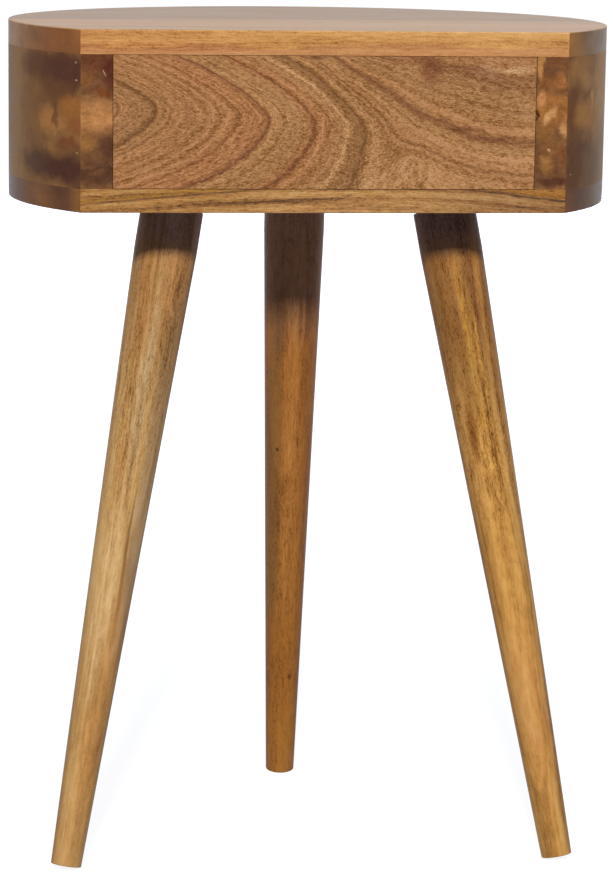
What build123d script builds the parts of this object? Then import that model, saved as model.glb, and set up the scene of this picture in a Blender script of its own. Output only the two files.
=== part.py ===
from build123d import *
import os
from math import cos, radians, sin, sqrt

# A three-legged nightstand: a flat-fronted oval case of solid wood with one drawer,
# on three splayed turned legs. Millimetres. The origin is on the floor under the middle
# of the case, +Z is up and the drawer opens towards -Y.

# Case: an ellipse in plan, cut off by the flat front
case_width = 432.0
case_depth = 313.0
overall_height = 600.0
case_height = 126.0
centre_setback = 120.0
top_thickness = 17.0
bottom_thickness = 16.5
wall_thickness = 23.0
front_post_width = 22.0
arris_radius = 0.8
rim_radius = 0.7

# Boards glued up from staves that run from side to side
front_stave_depth = 24.0
rear_stave_count = 4

# Curved wall: seams between its pieces, in degrees round the ellipse's centre from the widest line
side_seam_angle = 14.0
rear_seam_angle = 62.0

# Dowels between the wall and the boards
dowel_radius = 4.0
dowel_in_wall = 20.0
dowel_in_board = 10.0
dowel_end_gap = 1.0
fit_gap = 0.1
wall_dowel_angles = (-22.0, 4.0, 28.0, 52.0, 77.0)

# Legs
leg_top_radius = 22.7
leg_foot_radius = 11.0
leg_straight_length = 30.0
leg_edge_radius = 0.6
front_leg_side_share = 0.2257
front_leg_setback_share = 0.3259
rear_leg_setback_share = 0.623
front_foot_reach_out = 81.5
front_foot_reach_forward = 90.0
rear_foot_reach_back = 62.0

# Angled steel plates that carry the legs
plate_width = 64.0
plate_thickness = 2.5
plate_corner_radius = 8.0
plate_screw_inset = 8.0
plate_boss_radius = 16.0
plate_leg_gap = 0.3
bolt_radius = 4.0
bolt_in_leg = 34.0
bolt_end_gap = 1.0

# Countersunk wood screws
screw_radius = 2.0
screw_head_radius = 4.0
screw_head_height = 2.2
screw_bite = 12.0

# Drawer
drawer_reveal = 0.3
drawer_edge_radius = 0.3
drawer_front_thickness = 20.0
drawer_side_thickness = 12.0
drawer_side_gap = 1.0
drawer_back_thickness = 12.0
drawer_bottom_thickness = 5.0
drawer_bottom_rise = 8.2
drawer_groove_depth = 6.0
groove_gap = 0.2
running_gap = 0.3
tilt_gap = 0.7
drawer_wall_gap = 3.6
drawer_dowel_radius = 3.0
drawer_dowel_in_front = 12.0
drawer_dowel_in_side = 14.0
drawer_dowel_floor_gap = 1.4
drawer_dowel_top_gap = 14.6
drawer_screw_height_shares = (0.35, 0.8)

# What the drawer runs in
runner_ledge_width = 14.0
runner_ledge_thickness = 4.0
guide_width = 10.0
guide_height = 22.0
kicker_height = 17.0
rail_screw_shares = (0.12, 0.5, 0.88)

# Drawer stops
stop_rail_setback = 46.0
stop_rail_depth = 16.0
stop_rail_screw_share = 0.6
pull_stop_width = 30.0
pull_stop_depth = 12.0
pull_stop_drop = 25.0
pull_stop_top_gap = 5.0
pull_stop_side_share = 0.45
pull_stop_screw_spacing = 16.0
close_stop_width = 18.0
close_stop_depth = 15.0
close_stop_height = 34.0
close_stop_wall_gap = 1.0
close_pad_radius = 5.0
close_pad_thickness = 1.5

# Finger slot in the bottom board, under the drawer and just behind its front
slot_width = 110.0
slot_depth = 28.0
slot_corner_radius = 12.0

# One overrun for every cut
overrun = 5.0

# Places worked out from the sizes above
half_width = case_width / 2
back_reach = case_depth - centre_setback
front_y = -case_depth / 2
centre_y = front_y + centre_setback
flat_half_width = half_width * sqrt(1 - (centre_setback / back_reach) ** 2)
case_floor_z = overall_height - case_height
wall_bottom_z = case_floor_z + bottom_thickness
wall_top_z = overall_height - top_thickness
wall_height = wall_top_z - wall_bottom_z
inner_half_width = half_width - wall_thickness
inner_reach = back_reach - wall_thickness
middle_half_width = half_width - wall_thickness / 2
middle_reach = back_reach - wall_thickness / 2
post_back_y = front_y + front_stave_depth
opening_half_width = flat_half_width - front_post_width

# The rails run as far back as the curved wall leaves room beside the drawer
rail_outer_x = opening_half_width + guide_width
rail_inner_x = opening_half_width - runner_ledge_width
rail_half_run = inner_reach * sqrt(1 - (rail_outer_x / inner_half_width) ** 2)
rail_front_y = max(post_back_y, centre_y - rail_half_run + running_gap)
drawer_back_y = centre_y + rail_half_run - drawer_wall_gap
kicker_bottom_z = wall_top_z - kicker_height

# Drawer box
drawer_outer_x = opening_half_width - drawer_side_gap
drawer_inner_x = drawer_outer_x - drawer_side_thickness
drawer_side_front_y = front_y + drawer_front_thickness
drawer_back_front_y = drawer_back_y - drawer_back_thickness
drawer_side_bottom_z = wall_bottom_z + runner_ledge_thickness + running_gap
drawer_side_top_z = kicker_bottom_z - tilt_gap
drawer_side_height = drawer_side_top_z - drawer_side_bottom_z
drawer_floor_bottom_z = drawer_side_bottom_z + drawer_bottom_rise
drawer_floor_top_z = drawer_floor_bottom_z + drawer_bottom_thickness
stop_rail_back_y = front_y + stop_rail_setback + stop_rail_depth

SIDES = {"left": -1, "right": 1}
UP = (0, 0, 1)
DOWN = (0, 0, -1)
BACKWARD = (0, 1, 0)
TOP_END = (Align.CENTER, Align.CENTER, Align.MAX)
BASE_END = (Align.CENTER, Align.CENTER, Align.MIN)


def save(piece, label):
    """Name a finished piece and write it."""
    piece.part.label = label
    export_step(piece.part, f"parts/{label}.step")


def bar(x, y, z, mode=Mode.ADD):
    """Add or cut a square bar between two values of x, of y and of z."""
    with Locations((sum(x) / 2, sum(y) / 2, sum(z) / 2)):
        Box(abs(x[1] - x[0]), abs(y[1] - y[0]), abs(z[1] - z[0]), mode=mode)


def case_plan():
    """Draw the plan of the case: the ellipse cut off by the flat front."""
    with Locations((0, centre_y)):
        Ellipse(half_width, back_reach)
    with Locations((0, front_y)):
        Rectangle(
            case_width + overrun,
            case_depth + overrun,
            align=(Align.CENTER, Align.MIN),
            mode=Mode.INTERSECT,
        )


def ease_front_corners():
    """Round the upright corners where the flat front meets the curve."""
    upright = edges().filter_by(Axis.Z)
    corners = [e for e in upright if abs(abs(e.center().X) - flat_half_width) < arris_radius]
    fillet(corners, arris_radius)


def wall_dowel_points():
    """List the dowel centres: one in each front post and the rest along the middle of the wall."""
    post_y = front_y + front_stave_depth / 2
    post_outer = half_width * sqrt(1 - ((post_y - centre_y) / back_reach) ** 2)
    right = [((opening_half_width + post_outer) / 2, post_y)]
    for angle in wall_dowel_angles:
        turn = radians(angle)
        right.append((middle_half_width * cos(turn), centre_y + middle_reach * sin(turn)))
    return right + [(-x, y) for x, y in right]


def dowels(seam_z, board_above, gap=0, end_gap=0, mode=Mode.ADD):
    """Add or cut the upright dowels across the joint at seam_z between the wall and a board."""
    above = dowel_in_board if board_above else dowel_in_wall
    below = dowel_in_wall if board_above else dowel_in_board
    length = above + below + 2 * end_gap
    with Locations(*[(x, y, seam_z - below - end_gap) for x, y in wall_dowel_points()]):
        Cylinder(dowel_radius + gap, length, align=BASE_END, mode=mode)


def screws(heads, length, gap=0, mode=Mode.ADD):
    """Add or cut countersunk screws; each plane in heads lies on a head, facing out of it."""
    with Locations(*heads):
        Cylinder(screw_radius + gap, length + gap, align=TOP_END, mode=mode)
        Cone(
            screw_radius + gap,
            screw_head_radius + gap,
            screw_head_height,
            align=TOP_END,
            mode=mode,
        )


def facing(points, direction):
    """Give one plane at each point, all facing the same way."""
    return [Plane(origin=point, z_dir=direction) for point in points]


# Legs: each from its place under the bottom board to its foot on the floor
front_leg_x = front_leg_side_share * case_width
front_leg_y = front_y + front_leg_setback_share * case_depth
rear_leg_y = front_y + rear_leg_setback_share * case_depth
LEGS = {
    "front_left": ((-front_leg_x, front_leg_y), (-front_foot_reach_out, -front_foot_reach_forward)),
    "front_right": ((front_leg_x, front_leg_y), (front_foot_reach_out, -front_foot_reach_forward)),
    "rear": ((0, rear_leg_y), (0, rear_foot_reach_back)),
}


def leg_frame(place, splay):
    """Give a leg's direction to its foot, the way and the sine of its lean, and its top's middle."""
    head = Vector(*place, case_floor_z)
    direction = (Vector(*splay, 0) - Vector(0, 0, case_floor_z)).normalized()
    lean = Vector(*splay, 0).normalized()
    tilt = Vector(direction.X, direction.Y, 0).length
    drop = plate_thickness + plate_leg_gap + leg_top_radius * tilt
    return direction, lean, tilt, head + direction * (drop / -direction.Z)


def plate_screw_heads(place, splay):
    """Place the four screws of a leg plate, in the plate's corners, facing down."""
    lean = leg_frame(place, splay)[1]
    across = Vector(-lean.Y, lean.X, 0)
    reach = plate_width / 2 - plate_screw_inset
    middle = Vector(*place, case_floor_z - plate_thickness)
    corners = [(1, 1), (1, -1), (-1, 1), (-1, -1)]
    return facing([middle + lean * (u * reach) + across * (v * reach) for u, v in corners], DOWN)


leg_screw_heads = [
    head for place, splay in LEGS.values() for head in plate_screw_heads(place, splay)
]

# Rail screws: runners from above, kickers and stop rail from below
rail_ys = [rail_front_y + share * (drawer_back_y - rail_front_y) for share in rail_screw_shares]
guide_middle_x = opening_half_width + guide_width / 2
kicker_middle_x = (rail_inner_x + rail_outer_x) / 2
runner_screw_heads = {
    side: facing([(sign * guide_middle_x, y, wall_bottom_z + guide_height) for y in rail_ys], UP)
    for side, sign in SIDES.items()
}
kicker_screw_heads = {
    side: facing([(sign * kicker_middle_x, y, kicker_bottom_z) for y in rail_ys], DOWN)
    for side, sign in SIDES.items()
}
stop_rail_middle_y = stop_rail_back_y - stop_rail_depth / 2
stop_rail_screw_x = stop_rail_screw_share * rail_inner_x
stop_rail_screw_heads = facing(
    [(sign * stop_rail_screw_x, stop_rail_middle_y, kicker_bottom_z) for sign in SIDES.values()],
    DOWN,
)
runner_screw_length = guide_height + screw_bite
kicker_screw_length = kicker_height + screw_bite

# Drawer fasteners
drawer_side_x = (drawer_inner_x + drawer_outer_x) / 2
drawer_dowel_points = [
    (sign * drawer_side_x, z)
    for sign in SIDES.values()
    for z in (
        drawer_floor_top_z + drawer_dowel_floor_gap + drawer_dowel_radius,
        drawer_side_top_z - drawer_dowel_top_gap - drawer_dowel_radius,
    )
]
back_screw_heads = [
    Plane(
        origin=(
            sign * drawer_outer_x,
            drawer_back_y - drawer_back_thickness / 2,
            drawer_side_bottom_z + share * drawer_side_height,
        ),
        z_dir=(sign, 0, 0),
    )
    for sign in SIDES.values()
    for share in drawer_screw_height_shares
]
back_screw_length = drawer_side_thickness + screw_bite
pull_stop_x = pull_stop_side_share * drawer_inner_x
floor_screw_heads = facing(
    [
        (share * drawer_inner_x, drawer_back_y - drawer_back_thickness / 2, drawer_floor_bottom_z)
        for share in (-pull_stop_side_share, 0, pull_stop_side_share)
    ],
    DOWN,
)
floor_screw_length = drawer_bottom_thickness + screw_bite
pull_stop_top_z = wall_top_z - pull_stop_top_gap
pull_stop_bottom_z = drawer_side_top_z - pull_stop_drop
pull_screw_z = drawer_side_top_z - pull_stop_drop / 2
pull_screw_heads = facing(
    [
        (
            sign * pull_stop_x + way * pull_stop_screw_spacing / 2,
            drawer_back_y + pull_stop_depth,
            pull_screw_z,
        )
        for sign in SIDES.values()
        for way in (-1, 1)
    ],
    BACKWARD,
)
pull_screw_length = pull_stop_depth + drawer_back_thickness - 2 * screw_radius


def dowels_in_drawer(gap=0, end_gap=0, mode=Mode.ADD):
    """Add or cut the level dowels that join the drawer's front to its sides."""
    length = drawer_dowel_in_front + drawer_dowel_in_side + 2 * end_gap
    start = drawer_side_front_y - drawer_dowel_in_front - end_gap
    with Locations(*facing([(x, start, z) for x, z in drawer_dowel_points], BACKWARD)):
        Cylinder(drawer_dowel_radius + gap, length, align=BASE_END, mode=mode)


def drawer_floor_groove():
    """Cut the groove that holds the drawer's bottom panel."""
    reach = drawer_inner_x + drawer_groove_depth
    bar(
        (-reach, reach),
        (drawer_side_front_y - drawer_groove_depth, drawer_back_y + overrun),
        (drawer_floor_bottom_z - groove_gap / 2, drawer_floor_top_z + groove_gap / 2),
        mode=Mode.SUBTRACT,
    )


os.makedirs("parts", exist_ok=True)

# Top board, rounded along its upper rim
with BuildPart() as top_board:
    with BuildSketch(Plane.XY.offset(wall_top_z)):
        case_plan()
    extrude(amount=top_thickness)
    ease_front_corners()
    fillet(faces().sort_by(Axis.Z)[-1].edges(), rim_radius)
    dowels(wall_top_z, True, fit_gap, dowel_end_gap, Mode.SUBTRACT)
    for rail_heads in (*kicker_screw_heads.values(), stop_rail_screw_heads):
        screws(rail_heads, kicker_screw_length, fit_gap, Mode.SUBTRACT)

# Bottom board, rounded along its lower rim, with the finger slot through it
with BuildPart() as bottom_board:
    with BuildSketch(Plane.XY.offset(case_floor_z)):
        case_plan()
    extrude(amount=bottom_thickness)
    ease_front_corners()
    fillet(faces().sort_by(Axis.Z)[0].edges(), rim_radius)
    with BuildSketch(Plane.XY.offset(case_floor_z)):
        with Locations((0, post_back_y - slot_corner_radius)):
            RectangleRounded(
                slot_width,
                slot_depth + slot_corner_radius,
                slot_corner_radius,
                align=(Align.CENTER, Align.MIN),
            )
        with Locations((0, post_back_y)):
            Rectangle(
                slot_width,
                slot_depth,
                align=(Align.CENTER, Align.MIN),
                mode=Mode.INTERSECT,
            )
    extrude(amount=bottom_thickness, mode=Mode.SUBTRACT)
    dowels(wall_bottom_z, False, fit_gap, dowel_end_gap, Mode.SUBTRACT)
    for rail_heads in runner_screw_heads.values():
        screws(rail_heads, runner_screw_length, fit_gap, Mode.SUBTRACT)
    screws(leg_screw_heads, plate_thickness + screw_bite, fit_gap, Mode.SUBTRACT)

# The staves of both boards, numbered from the front
stave_depth = (case_depth - front_stave_depth) / rear_stave_count
stave_seams = [front_y] + [post_back_y + n * stave_depth for n in range(rear_stave_count + 1)]
for board_name, board, board_z in (
    ("top_board", top_board, (wall_top_z, overall_height)),
    ("bottom_board", bottom_board, (case_floor_z, wall_bottom_z)),
):
    for number, stave_y in enumerate(zip(stave_seams, stave_seams[1:]), start=1):
        with BuildPart() as stave:
            add(board.part)
            bar((-half_width, half_width), stave_y, board_z, mode=Mode.INTERSECT)
        save(stave, f"{board_name}_stave_{number}")

# Curved wall: the back, then a side piece and a rear corner piece on each side
side_seam = Vector(cos(radians(side_seam_angle)), sin(radians(side_seam_angle))) * case_width
rear_seam = Vector(cos(radians(rear_seam_angle)), sin(radians(rear_seam_angle))) * case_width
back_region = [
    (0, centre_y),
    (rear_seam.X, centre_y + rear_seam.Y),
    (-rear_seam.X, centre_y + rear_seam.Y),
]
wall_regions = {"back_wall": back_region}
for side, sign in SIDES.items():
    wall_regions[f"{side}_rear_wall"] = [
        (0, centre_y),
        (sign * side_seam.X, centre_y + side_seam.Y),
        (sign * rear_seam.X, centre_y + rear_seam.Y),
    ]
    wall_regions[f"{side}_side_wall"] = [
        (0, centre_y),
        (sign * side_seam.X, centre_y + side_seam.Y),
        (sign * side_seam.X, post_back_y),
        (0, post_back_y),
    ]
for wall_name, region in wall_regions.items():
    with BuildPart() as wall:
        with BuildSketch(Plane.XY.offset(wall_bottom_z)):
            case_plan()
            with Locations((0, centre_y)):
                Ellipse(inner_half_width, inner_reach, mode=Mode.SUBTRACT)
            with BuildLine():
                Polyline(*region, close=True)
            make_face(mode=Mode.INTERSECT)
        extrude(amount=wall_height)
        dowels(wall_bottom_z, False, fit_gap, dowel_end_gap, Mode.SUBTRACT)
        dowels(wall_top_z, True, fit_gap, dowel_end_gap, Mode.SUBTRACT)
    save(wall, wall_name)

# Posts beside the drawer, part of the flat front
for side, sign in SIDES.items():
    with BuildPart() as post:
        with BuildSketch(Plane.XY.offset(wall_bottom_z)):
            case_plan()
            with Locations((sign * opening_half_width, front_y)):
                Rectangle(
                    half_width - opening_half_width,
                    front_stave_depth,
                    align=(Align.MAX if sign < 0 else Align.MIN, Align.MIN),
                    mode=Mode.INTERSECT,
                )
        extrude(amount=wall_height)
        ease_front_corners()
        dowels(wall_bottom_z, False, fit_gap, dowel_end_gap, Mode.SUBTRACT)
        dowels(wall_top_z, True, fit_gap, dowel_end_gap, Mode.SUBTRACT)
    save(post, f"{side}_front_post")

with BuildPart() as top_dowels:
    dowels(wall_top_z, True)
save(top_dowels, "top_dowels")

with BuildPart() as bottom_dowels:
    dowels(wall_bottom_z, False)
save(bottom_dowels, "bottom_dowels")

# Runners with their guides, and kickers over the drawer's sides
for side, sign in SIDES.items():
    with BuildPart() as runner:
        bar(
            (sign * opening_half_width, sign * rail_outer_x),
            (rail_front_y, drawer_back_y),
            (wall_bottom_z, wall_bottom_z + guide_height),
        )
        bar(
            (sign * rail_inner_x, sign * rail_outer_x),
            (rail_front_y, drawer_back_y),
            (wall_bottom_z, wall_bottom_z + runner_ledge_thickness),
        )
        screws(runner_screw_heads[side], runner_screw_length, fit_gap, Mode.SUBTRACT)
    save(runner, f"{side}_drawer_runner")

    with BuildPart() as kicker:
        bar(
            (sign * rail_inner_x, sign * rail_outer_x),
            (rail_front_y, drawer_back_y),
            (kicker_bottom_z, wall_top_z),
        )
        screws(kicker_screw_heads[side], kicker_screw_length, fit_gap, Mode.SUBTRACT)
    save(kicker, f"{side}_drawer_kicker")

with BuildPart() as stop_rail:
    bar(
        (-rail_inner_x, rail_inner_x),
        (stop_rail_back_y - stop_rail_depth, stop_rail_back_y),
        (kicker_bottom_z, wall_top_z),
    )
    screws(stop_rail_screw_heads, kicker_screw_length, fit_gap, Mode.SUBTRACT)
save(stop_rail, "drawer_stop_rail")

with BuildPart() as runner_screws:
    for side in SIDES:
        screws(runner_screw_heads[side], runner_screw_length)
save(runner_screws, "runner_screws")

with BuildPart() as kicker_screws:
    for side in SIDES:
        screws(kicker_screw_heads[side], kicker_screw_length)
    screws(stop_rail_screw_heads, kicker_screw_length)
save(kicker_screws, "kicker_and_stop_rail_screws")

# Closing stops on the bottom board, with felt pads that the drawer's back meets
close_stop_y = drawer_back_y + running_gap + close_pad_thickness
close_stop_back_y = close_stop_y + close_stop_depth
close_stop_room = (close_stop_back_y + close_stop_wall_gap - centre_y) / inner_reach
close_stop_outer_x = min(rail_inner_x, inner_half_width * sqrt(1 - close_stop_room**2))
close_stop_inner_x = close_stop_outer_x - close_stop_width
close_pad_z = wall_bottom_z + close_stop_height - 2 * close_pad_radius
for side, sign in SIDES.items():
    with BuildPart() as close_stop:
        bar(
            (sign * close_stop_inner_x, sign * close_stop_outer_x),
            (close_stop_y, close_stop_back_y),
            (wall_bottom_z, wall_bottom_z + close_stop_height),
        )
    save(close_stop, f"{side}_closing_stop")

with BuildPart() as close_pads:
    pad_x = (close_stop_inner_x + close_stop_outer_x) / 2
    pad_points = [(sign * pad_x, close_stop_y, close_pad_z) for sign in SIDES.values()]
    with Locations(*facing(pad_points, BACKWARD)):
        Cylinder(close_pad_radius, close_pad_thickness, align=TOP_END)
save(close_pads, "closing_stop_pads")

# Legs, their plates and hanger bolts
for leg_name, (place, splay) in LEGS.items():
    direction, lean, tilt, leg_top = leg_frame(place, splay)
    across = Vector(-lean.Y, lean.X, 0)
    foot_z = (leg_foot_radius - leg_edge_radius) * tilt + leg_edge_radius * (1 + direction.Z)
    leg_length = (leg_top.Z - foot_z) / -direction.Z
    with BuildPart() as leg:
        with BuildSketch(Plane(origin=leg_top, x_dir=across, z_dir=across.cross(direction))):
            with BuildLine():
                Polyline(
                    (0, 0),
                    (leg_top_radius, 0),
                    (leg_top_radius, leg_straight_length),
                    (leg_foot_radius, leg_length),
                    (0, leg_length),
                    close=True,
                )
            make_face()
            ends = vertices().group_by(Axis.Y)
            fillet([ends[0].sort_by(Axis.X)[-1], ends[-1].sort_by(Axis.X)[-1]], leg_edge_radius)
        revolve(axis=Axis(leg_top, direction))
        with Locations(Plane(origin=leg_top, z_dir=direction)):
            Cylinder(
                bolt_radius + fit_gap,
                bolt_in_leg + bolt_end_gap,
                align=BASE_END,
                mode=Mode.SUBTRACT,
            )
    save(leg, f"{leg_name}_leg")

    with BuildPart() as plate:
        with BuildSketch(Plane(origin=leg_top, x_dir=across, z_dir=-direction)):
            Circle(plate_boss_radius)
        extrude(amount=plate_thickness + leg_top_radius)
        split(bisect_by=Plane.XY.offset(case_floor_z), keep=Keep.BOTTOM)
        with BuildSketch(Plane(origin=(*place, case_floor_z), x_dir=lean, z_dir=DOWN)):
            RectangleRounded(plate_width, plate_width, plate_corner_radius)
        extrude(amount=plate_thickness)
        with Locations(Plane(origin=leg_top, z_dir=direction)):
            Cylinder(bolt_radius + fit_gap, 2 * (leg_top_radius + overrun), mode=Mode.SUBTRACT)
        screws(plate_screw_heads(place, splay), plate_thickness + screw_bite, fit_gap, Mode.SUBTRACT)
    save(plate, f"{leg_name}_leg_plate")

with BuildPart() as hanger_bolts:
    for place, splay in LEGS.values():
        direction, lean, tilt, leg_top = leg_frame(place, splay)
        bolt_top_z = case_floor_z - running_gap - bolt_radius * tilt
        reach = (bolt_top_z - leg_top.Z) / -direction.Z
        with Locations(Plane(origin=leg_top - direction * reach, z_dir=direction)):
            Cylinder(bolt_radius, reach + bolt_in_leg, align=BASE_END)
save(hanger_bolts, "leg_hanger_bolts")

with BuildPart() as plate_screws:
    screws(leg_screw_heads, plate_thickness + screw_bite)
save(plate_screws, "leg_plate_screws")

# Drawer
with BuildPart() as drawer_front:
    drawer_front_x = opening_half_width - drawer_reveal
    bar(
        (-drawer_front_x, drawer_front_x),
        (front_y, drawer_side_front_y),
        (wall_bottom_z + drawer_reveal, wall_top_z - drawer_reveal),
    )
    fillet(faces().sort_by(Axis.Y)[0].edges(), drawer_edge_radius)
    drawer_floor_groove()
    dowels_in_drawer(fit_gap, dowel_end_gap, Mode.SUBTRACT)
save(drawer_front, "drawer_front")

for side, sign in SIDES.items():
    with BuildPart() as drawer_side:
        bar(
            (sign * drawer_inner_x, sign * drawer_outer_x),
            (drawer_side_front_y, drawer_back_y),
            (drawer_side_bottom_z, drawer_side_top_z),
        )
        drawer_floor_groove()
        dowels_in_drawer(fit_gap, dowel_end_gap, Mode.SUBTRACT)
        screws(back_screw_heads, back_screw_length, fit_gap, Mode.SUBTRACT)
    save(drawer_side, f"{side}_drawer_side")

with BuildPart() as drawer_back:
    bar(
        (-drawer_inner_x, drawer_inner_x),
        (drawer_back_front_y, drawer_back_y),
        (drawer_floor_top_z, drawer_side_top_z),
    )
    screws(back_screw_heads, back_screw_length, fit_gap, Mode.SUBTRACT)
    screws(floor_screw_heads, floor_screw_length, fit_gap, Mode.SUBTRACT)
    screws(pull_screw_heads, pull_screw_length, fit_gap, Mode.SUBTRACT)
save(drawer_back, "drawer_back")

with BuildPart() as drawer_floor:
    floor_x = drawer_inner_x + drawer_groove_depth - groove_gap
    bar(
        (-floor_x, floor_x),
        (drawer_side_front_y - drawer_groove_depth + groove_gap, drawer_back_y),
        (drawer_floor_bottom_z, drawer_floor_top_z),
    )
    screws(floor_screw_heads, floor_screw_length, fit_gap, Mode.SUBTRACT)
save(drawer_floor, "drawer_bottom_panel")

for side, sign in SIDES.items():
    with BuildPart() as pull_stop:
        bar(
            (sign * pull_stop_x - pull_stop_width / 2, sign * pull_stop_x + pull_stop_width / 2),
            (drawer_back_y, drawer_back_y + pull_stop_depth),
            (pull_stop_bottom_z, pull_stop_top_z),
        )
        screws(pull_screw_heads, pull_screw_length, fit_gap, Mode.SUBTRACT)
    save(pull_stop, f"{side}_pull_out_stop")

with BuildPart() as drawer_dowels:
    dowels_in_drawer()
save(drawer_dowels, "drawer_front_dowels")

with BuildPart() as drawer_back_screws:
    screws(back_screw_heads, back_screw_length)
save(drawer_back_screws, "drawer_back_screws")

with BuildPart() as drawer_floor_screws:
    screws(floor_screw_heads, floor_screw_length)
save(drawer_floor_screws, "drawer_bottom_screws")

with BuildPart() as pull_stop_screws:
    screws(pull_screw_heads, pull_screw_length)
save(pull_stop_screws, "pull_out_stop_screws")

print("drawer travel to its stop:", round(drawer_back_y - stop_rail_back_y, 2))
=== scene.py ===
import math

import bpy
from mathutils import Matrix, Vector

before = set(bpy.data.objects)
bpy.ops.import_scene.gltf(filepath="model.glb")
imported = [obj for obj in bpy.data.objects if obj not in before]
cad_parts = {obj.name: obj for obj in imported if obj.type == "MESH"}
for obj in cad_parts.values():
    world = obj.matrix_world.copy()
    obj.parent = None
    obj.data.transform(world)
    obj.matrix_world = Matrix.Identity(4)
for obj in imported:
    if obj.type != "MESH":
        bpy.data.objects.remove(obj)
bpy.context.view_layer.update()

# Camera, fitted to the photograph: metres and degrees in the part's own frame
CAMERA_PLACE = Vector((-0.26143, -2.42655, 0.73584))
CAMERA_YAW = 6.31
CAMERA_PITCH = 10.43
CAMERA_ROLL = -0.78
CAMERA_LENS = 135.85
CAMERA_SENSOR = 36.0
CAMERA_FAR_END = 60.0

# Ways and the origin in the part's own frame
RIGHT = (1, 0, 0)
BACK = (0, 1, 0)
FORWARD = (0, -1, 0)
UP = (0, 0, 1)
ORIGIN = (0, 0, 0)


def reach(node, axis, end=min):
    """How far a CAD node reaches along an axis of the part's own frame: 0, 1 or 2 for x, y or z."""
    return end(corner[axis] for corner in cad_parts[node].bound_box)


# The case, measured on the frame; its curve is an ellipse cut off at the front, and the ellipse
# reaches CASE_BACK_REACH from its centre to the back
CASE_HALF_WIDTH = reach("top_board_stave_3", 0, max)
CASE_TOP_Z = reach("top_board_stave_3", 2, max)
CASE_FLOOR_Z = reach("bottom_board_stave_1", 2)
FRONT_Y = reach("top_board_stave_1", 1)
CASE_BACK_REACH = 0.193
CASE_CENTRE_Y = reach("back_wall", 1, max) - CASE_BACK_REACH

# How far each leg's foot stands out from its top, and where its top meets the case
LEG_LEANS = {
    "front_left_leg": (-0.0815, -0.090),
    "front_right_leg": (0.0815, -0.090),
    "rear_leg": (0.0, 0.062),
}
LEG_TOPS = {
    "front_left_leg": (-0.0975, -0.0545, CASE_FLOOR_Z),
    "front_right_leg": (0.0975, -0.0545, CASE_FLOOR_Z),
    "rear_leg": (0.0, 0.0385, CASE_FLOOR_Z),
}

WHITE = (1, 1, 1, 1)


def part_of(colour, whole):
    """The factor that turns the whole colour into this one."""
    return (*[a / b for a, b in zip(colour[:3], whole[:3])], 1.0)


def srgb(red, green, blue):
    """Turn a colour written in 0 to 255 steps into the shader's linear colour."""
    steps = [level / 255 for level in (red, green, blue)]
    linear = [s / 12.92 if s <= 0.04045 else ((s + 0.055) / 1.055) ** 2.4 for s in steps]
    return (*linear, 1.0)


class Value:
    """A shader value; arithmetic on it adds Math nodes to its finish."""

    def __init__(self, finish, socket):
        self.finish = finish
        self.socket = socket

    def __add__(self, other):
        return self.finish.math("ADD", self, other)

    def __sub__(self, other):
        return self.finish.math("SUBTRACT", self, other)

    def __rsub__(self, other):
        return self.finish.math("SUBTRACT", other, self)

    def __mul__(self, other):
        return self.finish.math("MULTIPLY", self, other)

    def __truediv__(self, other):
        return self.finish.math("DIVIDE", self, other)

    def __pow__(self, other):
        return self.finish.math("POWER", self, other)

    def __abs__(self):
        return self.finish.math("ABSOLUTE", self)

    __radd__ = __add__
    __rmul__ = __mul__

    def swing(self, share):
        """A noise's swing about its middle, in a share of its own size."""
        return (self - 0.5) * share


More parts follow.
